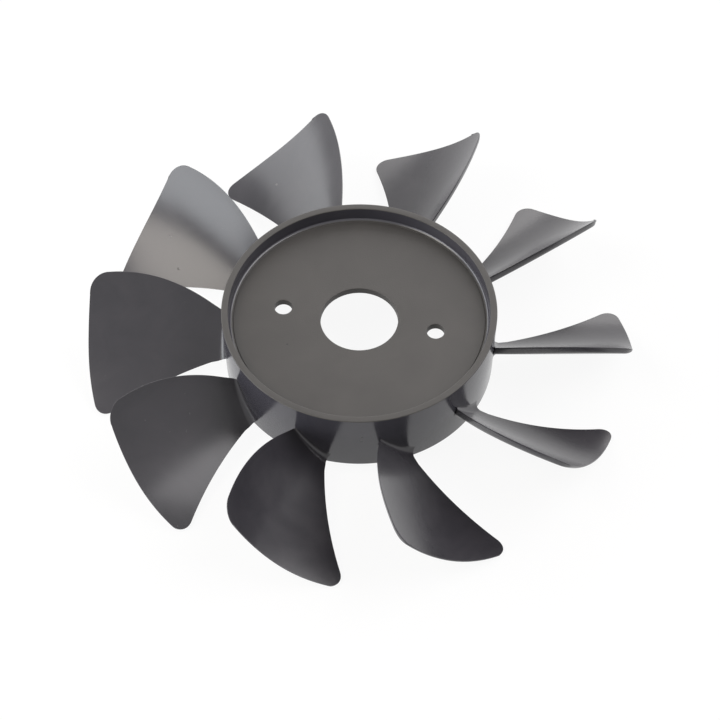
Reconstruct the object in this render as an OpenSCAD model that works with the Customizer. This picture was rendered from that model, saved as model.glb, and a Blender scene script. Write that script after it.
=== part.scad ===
// Axial cooling fan wheel for a small transmission: one moulding, a cup hub and twisted blades.
// Millimetres. The axis is Z, the dish opens towards +Z, and z = 0 is the seat face under the dish floor.

/* [Fan] */
// Diameter over the blade tips
fan_d = 179; // [160:0.2:200]
// Number of blades
blade_count = 10; // [6:1:11]
// Angle from the bolt line to the middle of the first blade, in degrees
first_blade_angle = 9.1; // [0:0.1:36]

/* [Hub] */
// Outside diameter of the hub at the dish rim
hub_d = 90; // [84:0.2:96]
// Outside diameter of the skirt at its foot
skirt_foot_d = 88.2; // [83:0.2:92]
// Height of the skirt below the seat face
skirt_depth = 17.4; // [17:0.1:24]
// Depth of the dish, from its rim to its floor
dish_depth = 4.8; // [2:0.1:10]
// Thickness of the dish floor
floor_t = 2.5; // [1.5:0.1:5]
// Thickness of the dish wall at its rim
rim_t = 2.2; // [1.6:0.1:3]
// Thickness of the skirt wall at its foot
skirt_foot_t = 2; // [1.6:0.1:3]
// How much narrower the dish is at its floor than at its rim, on the radius
dish_draft = 0.4; // [0:0.05:0.8]
// How much narrower the skirt bore is at the floor than at its foot, on the radius
skirt_draft = 0.4; // [0:0.05:0.8]
// Radius of the fillet round the dish floor
dish_fillet = 1.6; // [0.5:0.1:2]
// Radius of the fillet under the floor, inside the skirt
skirt_fillet = 1.5; // [0.5:0.1:3]
// Radius on the rim and foot edges
rim_round = 0.6; // [0.2:0.05:0.75]

/* [Mounting] */
// Diameter of the centre bore
bore_d = 25.4; // [16:0.1:36]
// Diameter of the circle that the bolt holes lie on
bolt_circle_d = 50.8; // [46:0.1:70]
// Diameter of a bolt hole
bolt_hole_d = 5.8; // [4:0.1:8]
// Number of bolt holes
bolt_count = 2; // [2:1:6]

/* [Blade] */
// Width of the blade at the hub, measured along its chord
root_chord = 16; // [12:0.1:18]
// Width of the blade half way out
mid_chord = 36.2; // [24:0.1:38]
// Width of the blade at the tip, as if its corners were sharp
tip_chord = 49; // [34:0.1:52]
// Pitch of the blade at the hub, in degrees from the plane of rotation
root_pitch = 48; // [40:0.1:50]
// Pitch half way out
mid_pitch = 44; // [30:0.1:50]
// Pitch at the tip
tip_pitch = 37; // [25:0.1:45]
// Offset of the blade across its radial line at the hub
root_sweep = -1.2; // [-4:0.1:2]
// Offset of the blade across its radial line half way out
mid_sweep = 0.3; // [-3:0.1:3]
// Offset of the blade across its radial line at the tip
tip_sweep = 7; // [2:0.1:10]
// Height of the middle of the chord at the hub
root_height = -9.7; // [-10.5:0.1:-8]
// Height of the middle of the chord half way out
mid_height = -6.3; // [-9:0.1:-4]
// Height of the middle of the chord at the tip
tip_height = -8; // [-11:0.1:-5]
// Hollow of the blade's upper face at the hub, below its chord
root_camber = 0.6; // [0:0.1:1.5]
// Hollow of the blade's upper face at the tip
tip_camber = 4.8; // [2:0.1:7]
// Thickness of the blade at the hub
root_t = 2; // [1.6:0.1:2.6]
// Thickness of the blade at the tip
tip_t = 1.5; // [1.3:0.1:2.2]
// Radius of the tip corner on the high edge of the blade
high_corner_r = 5.2; // [2:0.1:8]
// Radius of the tip corner on the low edge of the blade
low_corner_r = 5.4; // [2:0.1:8]
// Radius along the blade's edges
blade_edge_r = 0.4; // [0.2:0.05:0.6]
// Radius of the fillet between blade and skirt
root_fillet = 1.8; // [0.6:0.1:2]

/* [Hidden] */
cut = 1;                                    // how far a drill runs past each face
rim_z = floor_t + dish_depth;               // top of the dish rim
foot_z = -skirt_depth;                      // foot of the skirt
hub_r = hub_d / 2;
foot_r = skirt_foot_d / 2;
tip_r = fan_d / 2;
root_bury = rim_t / 2;                      // how deep a blade root sits in the hub wall
turn_steps = 180;                           // facets round the axis
corner_steps = 6;                           // steps in a rounded corner of the hub's profile
fillet_steps = 4;                           // rows of the blade over its root fillet
fillet_turn = 66;                           // degrees of round in that fillet; its foot then drops straight in
foot_gap = 0.3;                             // least height of a blade root over the foot's round
body_rows = 7;                              // rows of the blade between root fillet and tip corners
tip_steps = 5;                              // rows of the blade over its tip corners
chord_steps = 8;                            // steps across the blade

// Outside radius of the hub at a height: a straight taper from the rim to the foot.
function hub_r_at(z) = foot_r + (hub_r - foot_r) * (z - foot_z) / (rim_z - foot_z);

// Points of an arc about a centre, from one angle to another.
function arc(centre, r, from, to) =
    [for (i = [0:corner_steps])
        let (a = from + (to - from) * i / corner_steps) centre + r * [cos(a), sin(a)]];

// Value that runs smoothly through its root, middle and tip sizes.
function along(root, mid, tip, q) =
    root * (1 - q) * (1 - 2 * q) + 4 * mid * q * (1 - q) + tip * q * (2 * q - 1);

// How far a quarter round of radius r stands back from its corner, at a distance d from one face.
function stand_back(d, r) = d >= r ? 0 : r - sqrt(r * r - (r - d) * (r - d));

// Half section of the hub, anticlockwise from the bore.
function hub_profile() =
    let (dish_r = hub_r - rim_t, skirt_r = foot_r - skirt_foot_t,
         dish_floor_r = dish_r - dish_draft, skirt_top_r = skirt_r - skirt_draft)
    concat(
        [[0, 0]],
        arc([skirt_top_r - skirt_fillet, -skirt_fillet], skirt_fillet, 90, 0),
        arc([skirt_r + rim_round, foot_z + rim_round], rim_round, 180, 270),
        arc([foot_r - rim_round, foot_z + rim_round], rim_round, 270, 360),
        arc([hub_r - rim_round, rim_z - rim_round], rim_round, 0, 90),
        arc([dish_r + rim_round, rim_z - rim_round], rim_round, 90, 180),
        arc([dish_floor_r - dish_fillet, floor_t + dish_fillet], dish_fillet, 0, -90),
        [[0, floor_t]]);

// Rows of the blade, from inside the hub wall to the tip. Each is [distance from the hub's
// surface, distance from the tip, whether the row follows the taper of the hub].
blade_span = tip_r - hub_r;
corner_r = max(high_corner_r, low_corner_r);
fillet_foot = root_fillet * (1 - sin(fillet_turn));
blade_rows = concat(
    [[-root_bury, blade_span, true]],
    [for (i = [fillet_steps:-1:0])
        let (d = root_fillet * (1 - sin(fillet_turn * i / fillet_steps))) [d, blade_span - d, true]],
    [for (i = [1:body_rows])
        let (d = root_fillet + (blade_span - corner_r - root_fillet) * i / (body_rows + 1))
        [d, blade_span - d, false]],
    [for (i = [0:tip_steps])
        let (d = corner_r * (1 - sin(90 * i / tip_steps))) [blade_span - d, d, false]]);

// One point of a row: e is the distance in from the row's nearer end, side is 1 on the upper face.
function blade_point(row, step, side) =
    let (
        q = row[0] / blade_span,
        chord = along(root_chord, mid_chord, tip_chord, q),
        pitch = along(root_pitch, mid_pitch, tip_pitch, q),
        camber = root_camber + (tip_camber - root_camber) * q,
        flare = stand_back(max(row[0], fillet_foot), root_fillet),
        high_end = stand_back(row[1], high_corner_r),
        low_end = chord - stand_back(row[1], low_corner_r),
        edge = blade_edge_r,
        at_end = step == 0 || step == chord_steps + 2,
        inner = (low_end - high_end - 2 * edge) * (step - 1) / chord_steps,
        u = step == 0 ? high_end : step == chord_steps + 2 ? low_end : high_end + edge + inner,
        edge_cut = max(at_end ? edge : 0, stand_back(row[1], edge)),
        half_t = (root_t + (tip_t - root_t) * q) / 2 + flare - edge_cut,
        s = u / chord,
        slope = -4 * camber * (1 - 2 * s) / chord,
        lean = sqrt(1 + slope * slope),
        across = u - chord / 2 - side * half_t * slope / lean,
        off = -4 * camber * s * (1 - s) + side * half_t / lean,
        y = along(root_sweep, mid_sweep, tip_sweep, q) + across * cos(pitch) + off * sin(pitch),
        z_free = along(root_height, mid_height, tip_height, q) - across * sin(pitch) + off * cos(pitch),
        z = row[2] ? max(z_free, foot_z + rim_round + foot_gap) : z_free,
        r = row[0] + (row[2] ? hub_r_at(z) : hub_r))
    [sqrt(r * r - y * y), y, z];

// One blade, lofted through its rows. The points of a row run along the upper face from the
// high edge to the low edge, and back along the lower face.
module blade() {
    last = chord_steps + 2;
    loop = 2 * (last + 1);
    rows = len(blade_rows);
    points = [for (row = blade_rows) each concat(
        [for (step = [0:last]) blade_point(row, step, 1)],
        [for (step = [last:-1:0]) blade_point(row, step, -1)])];
    skin = [for (i = [0:rows - 2], j = [0:loop - 1])
        let (a = i * loop + j, b = i * loop + (j + 1) % loop)
        each [[a, b, b + loop], [a, b + loop, a + loop]]];
    function cap(first) = [for (j = [0:last - 1])
        let (a = first + j, b = first + loop - 1 - j) each [[a, b, b - 1], [a, b - 1, a + 1]]];
    function flipped(faces) = [for (f = faces) [f[0], f[2], f[1]]];
    polyhedron(points, concat(skin, cap(0), flipped(cap((rows - 1) * loop))));
}

module hub() {
    rotate(first_blade_angle + 180 / blade_count) rotate_extrude($fn = turn_steps) polygon(hub_profile());
}

module hole(d) {
    translate([0, 0, -cut]) cylinder(d = d, h = floor_t + 2 * cut, $fn = 64);
}

module fan() {
    color([0.16, 0.16, 0.18]) difference() {
        union() {
            hub();
            for (i = [0:blade_count - 1]) rotate(first_blade_angle + i * 360 / blade_count) blade();
        }
        hole(bore_d);
        for (i = [0:bolt_count - 1])
            rotate(i * 360 / bolt_count) translate([bolt_circle_d / 2, 0, 0]) hole(bolt_hole_d);
    }
}

fan();
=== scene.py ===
"""Transmission cooling fan: one plastic moulding, a dished cup hub with ten twisted blades.

The shape is worked out in millimetres, like the part's source, and scaled to metres at the end.
The axis is Z, the dish opens upwards, and z = 0 is the seat face under the dish floor.
"""

from math import atan, cos, hypot, pi, radians, sin, sqrt, tan

import bmesh
import bpy
from mathutils import Matrix, Vector


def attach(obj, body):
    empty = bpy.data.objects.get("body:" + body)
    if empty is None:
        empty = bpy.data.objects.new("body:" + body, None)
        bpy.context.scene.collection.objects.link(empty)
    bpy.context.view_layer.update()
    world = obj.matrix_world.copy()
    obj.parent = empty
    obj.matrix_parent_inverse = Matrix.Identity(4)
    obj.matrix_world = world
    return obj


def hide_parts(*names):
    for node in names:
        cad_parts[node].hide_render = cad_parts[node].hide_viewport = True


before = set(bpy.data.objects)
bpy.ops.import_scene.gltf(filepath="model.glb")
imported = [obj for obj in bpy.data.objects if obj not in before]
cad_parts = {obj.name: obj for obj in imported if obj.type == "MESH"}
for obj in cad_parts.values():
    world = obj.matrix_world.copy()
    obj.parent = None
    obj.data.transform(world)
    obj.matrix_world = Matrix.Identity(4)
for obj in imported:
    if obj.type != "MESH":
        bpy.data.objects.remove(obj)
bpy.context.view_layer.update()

MM = 0.001

# The wheel's sizes, as in the part's source.
FAN_D = 179
BLADE_COUNT = 10
FIRST_BLADE_ANGLE = 9.1
HUB_D = 90
SKIRT_FOOT_D = 88.2
SKIRT_DEPTH = 17.4
DISH_DEPTH = 4.8
FLOOR_T = 2.5
RIM_T = 2.2
SKIRT_FOOT_T = 2.0
DISH_DRAFT = 0.4
SKIRT_DRAFT = 0.4
SKIRT_FILLET = 1.5
FOOT_ROUND = 0.6
FOOT_GAP = 0.3            # least height of a blade root over the foot's round
BORE_D = 25.4
BOLT_CIRCLE_D = 50.8
BOLT_HOLE_D = 5.8
BOLT_COUNT = 2

# The blade at its root, half way out and at its tip.
CHORD = (16, 36.2, 49)
PITCH = (48, 44, 37)
SWEEP = (-1.2, 0.3, 7)
HEIGHT = (-9.7, -6.3, -8)
ROOT_CAMBER, TIP_CAMBER = 0.6, 4.8
ROOT_T, TIP_T = 2.0, 1.5
HIGH_CORNER_R = 5.2
LOW_CORNER_R = 5.4

# One blade of the wheel in the photograph is bent: its tip stands back and a little inwards.
BENT_BLADE = 9
BENT_BACK, BENT_IN = 4.6, 0.9

# Finer forms that only show close up. The part's source has plainer ones in their place.
RIM_ROUND = 0.3
DISH_FILLET = 0.9
GROOVE_R = 0.2            # fine groove where the dish floor meets its fillet
HOLE_EDGE_R = 0.25
BLADE_EDGE_R = 0.5        # along the thick high edge, which stands upright
THIN_R = 2.6              # the underside rounds up over this distance to the thin low edge and tip
THIN_SHARE = 0.8          # how much of the blade's thickness that takes away
TIP_FALL = 0.9            # how far the tip draws in towards its low corner
ROOT_FILLET = (0.9, 2.8)  # at the high edge, at the low edge
FOOT_DEPTH = 0.1          # how far the fillet's foot runs on into the hub
FOOT_FLARE = 1.2          # how wide it is there, as a share of the fillet's radius

RIM_Z = FLOOR_T + DISH_DEPTH
FOOT_Z = -SKIRT_DEPTH
HUB_R = HUB_D / 2
FOOT_R = SKIRT_FOOT_D / 2
TIP_R = FAN_D / 2
BLADE_SPAN = TIP_R - HUB_R
CORNER_R = max(HIGH_CORNER_R, LOW_CORNER_R)
ROOT_BURY = RIM_T / 2
ROOT_FLOOR_Z = FOOT_Z + FOOT_ROUND + FOOT_GAP

# How finely the surfaces are divided.
TURN_STEPS = 288
BORE_STEPS = 120
BOLT_STEPS = 48
ROUND_STEPS = 8
FILLET_ROWS = 8
BODY_ROWS = 26
TIP_ROWS = 14
CHORD_STEPS = 24
EDGE_STEPS = 5
EDGE_ROWS = 3             # rows at the tip that count as its edge
TOUCH = 1e-4              # points closer than this are one point

# How the surfaces are shaded and finished. The blades keep the first material slot.
FLAT_RING = 0.5           # narrow flat ring beside each round, so that flat faces shade flat
SHARP_ANGLE = 40          # corners above this many degrees shade sharp
UNDERSIDE_TOP = 0.1       # faces of the cup's floor below this height belong to its underside
DISH, SKIRT = 1, 2


def new_object(name, bm):
    """An object at the origin with the mesh that was built up in bm."""
    mesh = bpy.data.meshes.new(name)
    bm.to_mesh(mesh)
    bm.free()
    obj = bpy.data.objects.new(name, mesh)
    bpy.context.scene.collection.objects.link(obj)
    return obj


def arc(x, z, r, start, end):
    """Points of an arc in the half section, from one angle to another."""
    angles = [radians(start + (end - start) * i / ROUND_STEPS) for i in range(ROUND_STEPS + 1)]
    return [(x + r * cos(a), z + r * sin(a)) for a in angles]


def along(sizes, q):
    """A size part of the way out, running smoothly through root, middle and tip."""
    root, mid, tip = sizes
    return root * (1 - q) * (1 - 2 * q) + 4 * mid * q * (1 - q) + tip * q * (2 * q - 1)


def stand_back(d, r):
    """How far a quarter round stands back from its corner, at a distance d from one face."""
    return 0 if d >= r else r - sqrt(r * r - (r - d) * (r - d))


def hub_r_at(z):
    """Outside radius of the hub, which narrows from its rim to its foot."""
    return FOOT_R + (HUB_R - FOOT_R) * (z - FOOT_Z) / (RIM_Z - FOOT_Z)


def turned(bm, points, steps, centre=(0, 0, 0)):
    """Spins an open half section once round an upright axis through centre."""
    verts = [bm.verts.new((centre[0] + x, centre[1], z)) for x, z in points]
    edges = [bm.edges.new(pair) for pair in zip(verts, verts[1:])]
    bmesh.ops.spin(bm, geom=verts + edges, cent=centre, axis=(0, 0, 1), angle=2 * pi,
                   steps=steps, use_merge=True)


def cup_section():
    """Half section of the cup: dish floor, dish wall, rim, skirt, foot and the inside of the skirt."""
    dish_r = HUB_R - RIM_T
    dish_floor_r = dish_r - DISH_DRAFT
    skirt_r = FOOT_R - SKIRT_FOOT_T
    skirt_top_r = skirt_r - SKIRT_DRAFT
    return (
        [(dish_floor_r - DISH_FILLET - 2 * GROOVE_R - FLAT_RING, FLOOR_T)]
        + arc(dish_floor_r - DISH_FILLET - GROOVE_R, FLOOR_T, GROOVE_R, -180, 0)
        + arc(dish_floor_r - DISH_FILLET, FLOOR_T + DISH_FILLET, DISH_FILLET, -90, 0)
        + arc(dish_r + RIM_ROUND, RIM_Z - RIM_ROUND, RIM_ROUND, 180, 90)
        + arc(HUB_R - RIM_ROUND, RIM_Z - RIM_ROUND, RIM_ROUND, 90, 0)
        + arc(FOOT_R - FOOT_ROUND, FOOT_Z + FOOT_ROUND, FOOT_ROUND, 0, -90)
        + arc(skirt_r + FOOT_ROUND, FOOT_Z + FOOT_ROUND, FOOT_ROUND, 270, 180)
        + arc(skirt_top_r - SKIRT_FILLET, -SKIRT_FILLET, SKIRT_FILLET, 0, 90)
        + [(skirt_top_r - SKIRT_FILLET - FLAT_RING, 0)]
    )


def hole_section(r):
    """Half section of a hole through the floor, with its edges just broken."""
    e = HOLE_EDGE_R
    return (
        [(r + e + FLAT_RING, FLOOR_T)]
        + arc(r + e, FLOOR_T - e, e, 90, 180)
        + arc(r + e, e, e, 180, 270)
        + [(r + e + FLAT_RING, 0)]
    )


def add_hub(bm):
    """The cup with its bore and bolt holes, closed by the flat faces of its floor."""
    turned(bm, cup_section(), TURN_STEPS)
    turned(bm, hole_section(BORE_D / 2), BORE_STEPS)
    for i in range(BOLT_COUNT):
        turn = 2 * pi * i / BOLT_COUNT
        centre = (BOLT_CIRCLE_D / 2 * cos(turn), BOLT_CIRCLE_D / 2 * sin(turn), 0)
        turned(bm, hole_section(BOLT_HOLE_D / 2), BOLT_STEPS, centre)
    bmesh.ops.remove_doubles(bm, verts=bm.verts, dist=TOUCH)
    for z in (0, FLOOR_T):
        rings = [e for e in bm.edges if e.is_boundary and all(abs(v.co.z - z) < TOUCH for v in e.verts)]
        bmesh.ops.triangle_fill(bm, edges=rings, use_beauty=True, normal=(0, 0, 1))
    bmesh.ops.recalc_face_normals(bm, faces=bm.faces)


def hub_finish(face):
    """The material slot of a face of the hub: matt on the dish floor and on the top of the rim."""
    middle = face.calc_center_median()
    inside_dish = hypot(middle.x, middle.y) < HUB_R - RIM_T - DISH_FILLET
    above_underside = middle.z > UNDERSIDE_TOP
    on_rim = middle.z > RIM_Z - RIM_ROUND
    return DISH if on_rim or (inside_dish and above_underside) else SKIRT


def blade_rows():
    """Rows from inside the hub wall to the tip: distance out, share of the fillet out and up, kind.

    In a closed row the upper face and the underside meet. A fillet row follows the taper of the hub.
    """
    rows = [(-ROOT_BURY, 0, 0, "closed"), (-FOOT_DEPTH, 0, FOOT_FLARE, "fillet")]
    for i in range(FILLET_ROWS + 1):
        a = radians(90 * (1 - i / FILLET_ROWS))
        rows.append((0, 1 - sin(a), 1 - cos(a), "fillet"))
    fillet_r = max(ROOT_FILLET)
    body = BLADE_SPAN - CORNER_R - fillet_r
    for i in range(1, BODY_ROWS):
        rows.append((fillet_r + body * i / BODY_ROWS, 0, 0, "open"))
    for i in range(TIP_ROWS + 1):
        rows.append((BLADE_SPAN - CORNER_R * (1 - sin(radians(90 * i / TIP_ROWS))), 0, 0, "open"))
    rows.append((BLADE_SPAN, 0, 0, "closed"))
    return rows


def section_stations():
    """Stations round a blade's section: part of the way across, angle in the high edge's round, side."""
    edge = [(0, 90 * i / EDGE_STEPS, 1) for i in range(EDGE_STEPS)]
    upper = edge + [((1 - cos(pi * i / CHORD_STEPS)) / 2, 90, 1) for i in range(CHORD_STEPS + 1)]
    return upper + [(part, angle, -1) for part, angle, _ in reversed(upper)]


def blade_point(row, station, bent):
    """A point of the blade's skin, with the blade along +X; bent is 1 for the blade with a bent tip."""
    out, fillet_out, fillet_up, kind = row
    part, edge_angle, side = station
    fillet_r = ROOT_FILLET[0] + (ROOT_FILLET[1] - ROOT_FILLET[0]) * part
    out += fillet_r * fillet_out
    q = out / BLADE_SPAN
    from_tip = BLADE_SPAN - out
    chord = along(CHORD, q)
    pitch = radians(along(PITCH, q))
    camber = ROOT_CAMBER + (TIP_CAMBER - ROOT_CAMBER) * q
    half_t = (ROOT_T + (TIP_T - ROOT_T) * q) / 2
    high_end = stand_back(from_tip, HIGH_CORNER_R)
    low_end = chord - stand_back(from_tip, LOW_CORNER_R)

    # The high edge stands upright, so the underside starts further across than the upper face.
    steepness = pitch + atan(4 * camber * (1 - 2 * high_end / chord) / chord)
    height = side * (half_t - BLADE_EDGE_R * (1 - sin(radians(edge_angle))))
    start = high_end + BLADE_EDGE_R * (1 - cos(radians(edge_angle))) + (half_t - height) * tan(steepness)
    u = start + (low_end - start) * part
    height += side * fillet_r * fillet_up

    # The underside rounds up to the thin low edge and the thin tip.
    if side < 0:
        height += 2 * half_t * THIN_SHARE * stand_back(min(low_end - u, from_tip), THIN_R) / THIN_R
    if kind == "closed":
        height, u = half_t, high_end + (low_end - high_end) * part

    # From the place in the section to the place on the wheel.
    s = u / chord
    slope = -4 * camber * (1 - 2 * s) / chord
    lean = sqrt(1 + slope * slope)
    across = u - chord / 2 - height * slope / lean
    off = -4 * camber * s * (1 - s) + height / lean
    y = along(SWEEP, q) + across * cos(pitch) + off * sin(pitch) + bent * BENT_BACK * max(q, 0) ** 2
    z = along(HEIGHT, q) - across * sin(pitch) + off * cos(pitch)
    z = max(z, ROOT_FLOOR_Z) if kind == "fillet" else z
    out *= 1 - TIP_FALL * max(2 * s - 1, 0) ** 2 / BLADE_SPAN
    out -= bent * BENT_IN * max(q, 0) ** 2
    r = out + (hub_r_at(z) if kind == "fillet" else HUB_R)
    return Vector((sqrt(r * r - y * y), y, z))


def add_blade(bm, angle, bent):
    """One blade: a flat grid rolled into a closed skin round its section."""
    edge_wear = bm.verts.layers.float["edge_wear"]
    rows = blade_rows()
    stations = section_stations()
    stations.append(stations[0])
    columns, lines = len(stations) - 1, len(rows) - 1
    fillet_end = FILLET_ROWS + 2
    grid = bmesh.ops.create_grid(bm, x_segments=columns, y_segments=lines, size=1)["verts"]
    turn = Matrix.Rotation(radians(angle), 3, "Z")
    for v in grid:
        column = round((v.co.x + 1) / 2 * columns)
        line = round((v.co.y + 1) / 2 * lines)
        v.co = turn @ blade_point(rows[line], stations[column], bent)
        at_edge = stations[column][1] < 90 or line > lines - EDGE_ROWS
        v[edge_wear] = 1 if at_edge and line > fillet_end else 0
    faces = {f for v in grid for f in v.link_faces}
    bmesh.ops.remove_doubles(bm, verts=grid, dist=TOUCH)
    bmesh.ops.recalc_face_normals(bm, faces=[f for f in faces if f.is_valid])


def make_fan():
    """The whole wheel as one object."""
    bm = bmesh.new()
    bm.verts.layers.float.new("edge_wear")
    add_hub(bm)
    for f in bm.faces:
        f.material_index = hub_finish(f)
    for i in range(BLADE_COUNT):
        add_blade(bm, FIRST_BLADE_ANGLE + 360 / BLADE_COUNT * i, int(i == BENT_BLADE))
    for f in bm.faces:
        f.smooth = True
    for e in bm.edges:
        e.smooth = len(e.link_faces) == 2 and e.calc_face_angle(0) < radians(SHARP_ANGLE)
    bmesh.ops.scale(bm, vec=(MM, MM, MM), verts=bm.verts)
    return new_object("cooling_fan", bm)


def add_node(tree, kind, settings=None, **values):
    """A shader node with its settings and the values of its named inputs."""
    node = tree.nodes.new("ShaderNode" + kind)
    for name, value in (settings or {}).items():
        setattr(node, name, value)
    for name, value in values.items():
        node.inputs[name.replace("_", " ")].default_value = value
    return node


def calculate(tree, operation, first, second, clamp=False):
    """A Math node; each operand is a socket or a number."""
    node = add_node(tree, "Math", {"operation": operation, "use_clamp": clamp})
    for socket, operand in zip(node.inputs, (first, second)):
        if isinstance(operand, (int, float)):
            socket.default_value = operand
        else:
            tree.links.new(operand, socket)
    return node.outputs[0]


def remap(tree, value, start, end, low, high):
    """A Map Range node from start..end to low..high."""
    node = add_node(tree, "MapRange", From_Min=start, From_Max=end, To_Min=low, To_Max=high)
    tree.links.new(value, node.inputs["Value"])
    return node.outputs[0]


def new_group(name, inputs, outputs):
    """An empty shader node group with named number inputs and outputs, and a Vector input."""
    group = bpy.data.node_groups.new(name, "ShaderNodeTree")
    group.interface.new_socket("Vector", in_out="INPUT", socket_type="NodeSocketVector")
    for socket, value in inputs.items():
        made = group.interface.new_socket(socket, in_out="INPUT", socket_type="NodeSocketFloat")
        made.default_value = value
    for socket in outputs:
        group.interface.new_socket(socket, in_out="OUTPUT", socket_type="NodeSocketFloat")
    return group, group.nodes.new("NodeGroupInput"), group.nodes.new("NodeGroupOutput")


def scaled(tree, vector, size):
    """The vector divided by a size, so that a pattern of unit size comes out that big."""
    node = add_node(tree, "VectorMath", {"operation": "SCALE"})
    tree.links.new(vector, node.inputs[0])
    tree.links.new(calculate(tree, "DIVIDE", 1, size), node.inputs["Scale"])
    return node.outputs[0]


def noise(tree, vector, size, **values):
    """A noise pattern with features of about the given size."""
    node = add_node(tree, "TexNoise", Scale=1, **values)
    tree.links.new(scaled(tree, vector, size), node.inputs["Vector"])
    return node.outputs[0]


def make_mould_grain():
    """The fine texture of the mould, and the slow waviness of a moulded face."""
    inputs = {"Grain Size": 0.0004, "Wave Size": 0.006, "Wave Share": 0.5}
    tree, given, out = new_group("mould_grain", inputs, ["Height"])
    place, wave_share = given.outputs["Vector"], given.outputs["Wave Share"]
    grain = noise(tree, place, given.outputs["Grain Size"], Detail=2, Roughness=0.6)
    wave = noise(tree, place, given.outputs["Wave Size"], Detail=1, Roughness=0.4)
    fine = calculate(tree, "MULTIPLY", grain, calculate(tree, "SUBTRACT", 1, wave_share))
    slow = calculate(tree, "MULTIPLY", wave, wave_share)
    tree.links.new(calculate(tree, "ADD", fine, slow), out.inputs["Height"])
    return tree


def make_flow_tone():
    """Cloudy unevenness of tone where the plastic flowed and cooled."""
    tree, given, out = new_group("flow_tone", {"Cloud Size": 0.02}, ["Tone"])
    cloud = noise(tree, given.outputs["Vector"], given.outputs["Cloud Size"],
                  Detail=4, Roughness=0.55, Distortion=0.6)
    tree.links.new(remap(tree, cloud, 0.3, 0.7, 0, 1), out.inputs["Tone"])
    return tree


def make_handling_scuffs():
    """Faint rubbed streaks, drawn out along the axis as the mould leaves them."""
    tree, given, out = new_group("handling_scuffs", {"Streak Width": 0.0012, "Cover": 0.4}, ["Scuffs"])
    stretch = add_node(tree, "Mapping", {"vector_type": "POINT"}, Scale=(1, 1, 0.12))
    tree.links.new(given.outputs["Vector"], stretch.inputs["Vector"])
    streak = noise(tree, stretch.outputs[0], given.outputs["Streak Width"], Detail=3, Roughness=0.7)

    # More cover lowers the level from which the streaks show, and the slope gives them soft ends.
    level = calculate(tree, "SUBTRACT", 0.8, calculate(tree, "MULTIPLY", given.outputs["Cover"], 0.4))
    above = calculate(tree, "SUBTRACT", streak, level)
    tree.links.new(calculate(tree, "MULTIPLY", above, 6, clamp=True), out.inputs["Scuffs"])
    return tree


def make_specks():
    """Single small specks, spaced far apart."""
    tree, given, out = new_group("specks", {"Spacing": 0.01, "Speck Size": 0.0003, "Share": 0.5}, ["Mask"])
    cells = add_node(tree, "TexVoronoi", {"voronoi_dimensions": "3D", "feature": "F1"}, Scale=1)
    tree.links.new(scaled(tree, given.outputs["Vector"], given.outputs["Spacing"]), cells.inputs["Vector"])
    radius = calculate(tree, "DIVIDE", given.outputs["Speck Size"], given.outputs["Spacing"])
    edge = calculate(tree, "DIVIDE", cells.outputs["Distance"], radius)
    dot = remap(tree, edge, 0.6, 1.1, 1, 0)

    # A cell has a speck where its random colour is low enough.
    pick = add_node(tree, "SeparateColor")
    tree.links.new(cells.outputs["Color"], pick.inputs[0])
    chosen = calculate(tree, "LESS_THAN", pick.outputs[0], given.outputs["Share"])
    tree.links.new(calculate(tree, "MULTIPLY", dot, chosen), out.inputs["Mask"])
    return tree


def make_single_mark():
    """One soft mark at a place, as long and wide as its reach along each axis."""
    tree, given, out = new_group("single_mark", {}, ["Mask"])
    for name, value in (("Place", (0, 0, 0)), ("Reach", (0.001, 0.001, 0.001))):
        made = tree.interface.new_socket(name, in_out="INPUT", socket_type="NodeSocketVector")
        made.default_value = value
    offset = add_node(tree, "VectorMath", {"operation": "SUBTRACT"})
    ratio = add_node(tree, "VectorMath", {"operation": "DIVIDE"})
    length = add_node(tree, "VectorMath", {"operation": "LENGTH"})
    tree.links.new(given.outputs["Vector"], offset.inputs[0])
    tree.links.new(given.outputs["Place"], offset.inputs[1])
    tree.links.new(offset.outputs[0], ratio.inputs[0])
    tree.links.new(given.outputs["Reach"], ratio.inputs[1])
    tree.links.new(ratio.outputs[0], length.inputs[0])
    tree.links.new(remap(tree, length.outputs["Value"], 0.5, 1.1, 1, 0), out.inputs["Mask"])
    return tree


def make_worn_edge():
    """Edges rubbed pale: the mesh's edge_wear attribute, broken up by a noise."""
    tree, given, out = new_group("worn_edge", {"Patch Size": 0.004}, ["Wear"])
    edge = add_node(tree, "Attribute", {"attribute_name": "edge_wear"})
    patch = noise(tree, given.outputs["Vector"], given.outputs["Patch Size"], Detail=3, Roughness=0.65)
    rubbed = remap(tree, patch, 0.35, 0.65, 0.25, 1)
    tree.links.new(calculate(tree, "MULTIPLY", edge.outputs["Fac"], rubbed), out.inputs["Wear"])
    return tree


def use_group(tree, group, vector, **values):
    """Places a node group with its coordinates and its own values, and returns its output."""
    node = add_node(tree, "Group", {"node_tree": group}, **values)
    tree.links.new(vector, node.inputs["Vector"])
    return node.outputs[0]


def blend_colours(tree, factor, first, second):
    """A Mix node between two colours; each is a socket or a value."""
    node = add_node(tree, "Mix", {"data_type": "RGBA"})
    factor_in, first_in, second_in = node.inputs[0], node.inputs[6], node.inputs[7]
    tree.links.new(factor, factor_in)
    for socket, colour in ((first_in, first), (second_in, second)):
        if isinstance(colour, tuple):
            socket.default_value = colour
        else:
            tree.links.new(colour, socket)
    return node.outputs[2]


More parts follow.
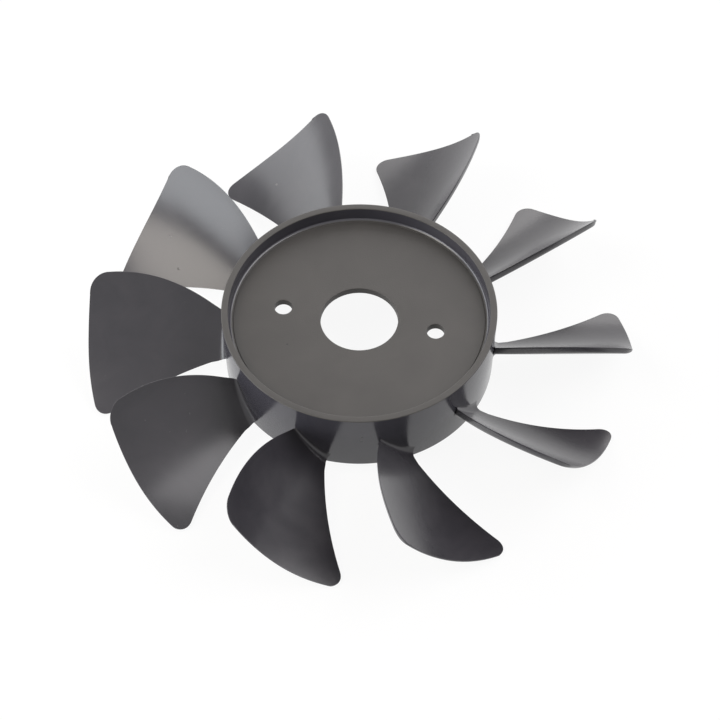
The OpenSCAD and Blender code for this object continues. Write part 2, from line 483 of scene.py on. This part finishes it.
# Marks on the plastic: each has a colour, the most of it that shows, and how much rougher it is.
SCUFF_COLOUR, SCUFF_SHOWS, SCUFF_ROUGH = (0.09, 0.088, 0.088, 1), 0.12, 0.06
WEAR_COLOUR, WEAR_SHOWS, WEAR_ROUGH = (0.11, 0.11, 0.115, 1), 0.08, 0.04
SPECK_COLOUR, SPECK_SHOWS, SPECK_ROUGH = (0.3, 0.29, 0.28, 1), 0.35, 0.3
PIT_COLOUR, PIT_SHOWS = (0.004, 0.004, 0.004, 1), 0.9
DUST_SHARE = 0.4          # a speck of dust is this pale beside a chip
TONE_ROUGH = 0.03         # how much rougher or smoother the cloudy tone makes the plastic
GRAIN_DEPTH = 0.00004

# Marks seen on the wheel in the photograph: where they are, and their reach along each axis.
PALE_CHIPS = (((-72.1, 32.3, -10.9), (0.5, 0.5, 0.5)), ((-42.4, 64.7, -14.2), (0.45, 0.45, 0.45)))
DARK_PITS = (
    ((-20.9, -14.9, 2.5), (0.4, 0.4, 0.3)),
    ((9.8, -43.6, -1.3), (0.45, 0.45, 0.5)),
    ((9.6, -43.6, -3.6), (0.25, 0.3, 0.5)),
    ((-67.2, 22.9, -15.7), (0.5, 0.5, 0.3)),
)


def all_marks(tree, group, place, marks):
    """The marks of one kind, together in one mask."""
    total = 0
    for spot, reach in marks:
        mark = use_group(tree, group, place, Place=[x * MM for x in spot], Reach=[x * MM for x in reach])
        total = calculate(tree, "ADD", mark, total, clamp=True)
    return total


def moulded_plastic(name, groups, deep, pale, roughness, grain, scuff_cover, shine=0.5):
    """Black moulded plastic: cloudy in tone, lightly grained, with streaks, marks and pale rubbed edges."""
    mat = bpy.data.materials.new(name)
    mat.use_nodes = True
    tree = mat.node_tree
    shader = tree.nodes["Principled BSDF"]
    shader.inputs["Specular IOR Level"].default_value = shine
    place = add_node(tree, "TexCoord").outputs["Object"]
    tone = use_group(tree, groups["flow_tone"], place, Cloud_Size=0.018)
    scuffs = use_group(tree, groups["handling_scuffs"], place, Streak_Width=0.0012, Cover=scuff_cover)
    dust = use_group(tree, groups["specks"], place, Spacing=0.011, Speck_Size=0.00028, Share=0.35)
    wear = use_group(tree, groups["worn_edge"], place, Patch_Size=0.004)
    height = use_group(tree, groups["mould_grain"], place, **grain)
    chips = all_marks(tree, groups["single_mark"], place, PALE_CHIPS)
    pits = all_marks(tree, groups["single_mark"], place, DARK_PITS)
    specks = calculate(tree, "MAXIMUM", calculate(tree, "MULTIPLY", dust, DUST_SHARE), chips)

    colour = blend_colours(tree, tone, deep, pale)
    for mask, shows, tint in ((scuffs, SCUFF_SHOWS, SCUFF_COLOUR), (wear, WEAR_SHOWS, WEAR_COLOUR),
                              (specks, SPECK_SHOWS, SPECK_COLOUR), (pits, PIT_SHOWS, PIT_COLOUR)):
        colour = blend_colours(tree, calculate(tree, "MULTIPLY", mask, shows), colour, tint)
    tree.links.new(colour, shader.inputs["Base Color"])

    rough = remap(tree, tone, 0, 1, roughness - TONE_ROUGH, roughness + TONE_ROUGH)
    for mask, extra in ((scuffs, SCUFF_ROUGH), (wear, WEAR_ROUGH), (specks, SPECK_ROUGH)):
        rough = calculate(tree, "ADD", rough, calculate(tree, "MULTIPLY", mask, extra))
    tree.links.new(rough, shader.inputs["Roughness"])

    bump = add_node(tree, "Bump", Distance=GRAIN_DEPTH, Strength=1)
    tree.links.new(calculate(tree, "SUBTRACT", height, pits), bump.inputs["Height"])
    tree.links.new(bump.outputs[0], shader.inputs["Normal"])
    return mat


fan = make_fan()
groups = {
    "mould_grain": make_mould_grain(),
    "flow_tone": make_flow_tone(),
    "handling_scuffs": make_handling_scuffs(),
    "specks": make_specks(),
    "single_mark": make_single_mark(),
    "worn_edge": make_worn_edge(),
}

# The finishes in the order of the material slots: blades, dish and skirt. The skirt's colour is painted
# lighter than the blades', as painted light on the skirt and the dish wall.
fan.data.materials.append(moulded_plastic(
    "blade_plastic", groups, deep=(0.029, 0.0275, 0.033, 1), pale=(0.04, 0.0375, 0.0435, 1), roughness=0.23,
    grain={"Grain_Size": 0.0005, "Wave_Size": 0.009, "Wave_Share": 0.75}, scuff_cover=0.35))
fan.data.materials.append(moulded_plastic(
    "dish_plastic", groups, deep=(0.029, 0.0265, 0.0245, 1), pale=(0.038, 0.035, 0.0325, 1), roughness=0.5,
    grain={"Grain_Size": 0.0004, "Wave_Size": 0.012, "Wave_Share": 0.3}, scuff_cover=0.2))
# Painted light: this colour is lighter than the blades', and stands in for brighter light on the skirt and
# the dish wall.
fan.data.materials.append(moulded_plastic(
    "skirt_plastic_painted_lighter", groups, deep=(0.038, 0.0365, 0.046, 1), pale=(0.047, 0.0455, 0.055, 1), roughness=0.18,
    grain={"Grain_Size": 0.0005, "Wave_Size": 0.009, "Wave_Share": 0.7}, scuff_cover=0.35, shine=0.62))
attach(fan, "root")
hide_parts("fan")

# Floor, world and lamps, in metres.
FLOOR_HALF = 4            # half the side of the floor
FLOOR_GAP = 0.0001        # air between the floor and the wheel
WORLD_LEVEL = 0.1         # how brightly the world lights the wheel
LAMP_FACTOR = 4           # an area lamp's energy, over its area and its radiance

# The camera, in degrees and millimetres. It slides along its own picture.
FOCAL_MM = 149.74
SENSOR_MM = 36
FAR_CLIP = 20000
VIEW_ELEVATION = 52.99
VIEW_TURN = 11.72
VIEW_ROLL = -0.267
VIEW_DISTANCE = 978.7
SLIDE_RIGHT, SLIDE_UP = 0.24, -13.39


def seen_directly(tree):
    """1 for rays of the camera and for mirrored and see-through ones, and 0 for rays that light."""
    path = add_node(tree, "LightPath")
    seen = calculate(tree, "ADD", path.outputs["Is Camera Ray"], path.outputs["Is Glossy Ray"], clamp=True)
    return calculate(tree, "ADD", seen, path.outputs["Is Transmission Ray"], clamp=True)


def pale_surface(name, shade, shadow):
    """White to the eye and in reflections, with only a share of it shaded by what stands on it."""
    mat = bpy.data.materials.new(name)
    mat.use_nodes = True
    tree = mat.node_tree
    tree.nodes.clear()
    out = add_node(tree, "OutputMaterial")
    mix = add_node(tree, "MixShader")
    matt = add_node(tree, "BsdfDiffuse", Color=(shade, shade, shade, 1))
    glow = add_node(tree, "Emission", Color=(1, 1, 1, 1))
    tree.links.new(calculate(tree, "MULTIPLY", seen_directly(tree), 1 - shadow), mix.inputs[0])
    tree.links.new(matt.outputs[0], mix.inputs[1])
    tree.links.new(glow.outputs[0], mix.inputs[2])
    tree.links.new(mix.outputs[0], out.inputs["Surface"])
    return mat


def make_floor(lowest):
    """A wide floor just under the wheel's lowest point."""
    bm = bmesh.new()
    bmesh.ops.create_grid(bm, x_segments=1, y_segments=1, size=FLOOR_HALF)
    bmesh.ops.translate(bm, vec=(0, 0, lowest - FLOOR_GAP), verts=bm.verts)
    floor = new_object("studio_floor", bm)
    floor.data.materials.append(pale_surface("pale_floor", shade=0.85, shadow=0.08))


def make_world(level):
    """White where it is seen, and a plain lower level where it lights."""
    world = bpy.data.worlds.new("studio")
    bpy.context.scene.world = world
    world.use_nodes = True
    tree = world.node_tree
    back = tree.nodes["Background"]
    back.inputs["Color"].default_value = (1, 1, 1, 1)
    tree.links.new(remap(tree, seen_directly(tree), 0, 1, level, 1), back.inputs["Strength"])


def softbox(name, beside, elevation, distance, width, height, level, colour):
    """A softbox that faces the wheel, an angle beside the camera to its right; a level of 1 looks white."""
    lamp = bpy.data.lights.new(name, "AREA")
    lamp.shape = "RECTANGLE"
    lamp.size = width
    lamp.size_y = height
    lamp.energy = LAMP_FACTOR * width * height * level
    lamp.color = colour
    obj = bpy.data.objects.new(name, lamp)
    bpy.context.scene.collection.objects.link(obj)
    turn, rise = radians(VIEW_TURN + beside), radians(elevation)
    away = Vector((sin(turn) * cos(rise), -cos(turn) * cos(rise), sin(rise)))
    obj.location = away * distance
    obj.rotation_euler = away.to_track_quat("Z", "Y").to_euler()


def make_camera():
    """The camera looks down at the middle of the dish floor, then slides along its own picture."""
    camera = bpy.data.cameras.new("camera")
    camera.lens = FOCAL_MM
    camera.sensor_width = SENSOR_MM
    camera.clip_end = FAR_CLIP * MM
    obj = bpy.data.objects.new("camera", camera)
    bpy.context.scene.collection.objects.link(obj)
    turn = Matrix.Rotation(radians(VIEW_TURN), 4, "Z")
    tilt = Matrix.Rotation(radians(90 - VIEW_ELEVATION), 4, "X")
    roll = Matrix.Rotation(radians(VIEW_ROLL), 4, "Z")
    place = Matrix.Translation((SLIDE_RIGHT * MM, SLIDE_UP * MM, VIEW_DISTANCE * MM))
    obj.matrix_world = Matrix.Translation((0, 0, FLOOR_T * MM)) @ turn @ tilt @ roll @ place
    bpy.context.scene.camera = obj


make_floor(min(v.co.z for v in fan.data.vertices))
make_world(WORLD_LEVEL)
softbox("left_softbox", beside=-74, elevation=8, distance=1.2,
        width=1.4, height=0.75, level=4.3, colour=(0.93, 0.97, 1))
softbox("far_left_softbox", beside=-120, elevation=10, distance=1.2,
        width=0.8, height=1.0, level=2.4, colour=(0.96, 0.98, 1))
softbox("warm_softbox", beside=-74, elevation=50, distance=1.2,
        width=0.6, height=0.66, level=4.7, colour=(1, 0.94, 0.86))
softbox("right_softbox", beside=104, elevation=44, distance=1.2,
        width=1.1, height=1.1, level=2.8, colour=(1, 0.98, 1))
softbox("back_softbox", beside=175, elevation=25, distance=1.3,
        width=1.6, height=0.9, level=1.75, colour=(1, 0.98, 0.97))
make_camera()

view = bpy.context.scene.view_settings
view.view_transform = "Standard"
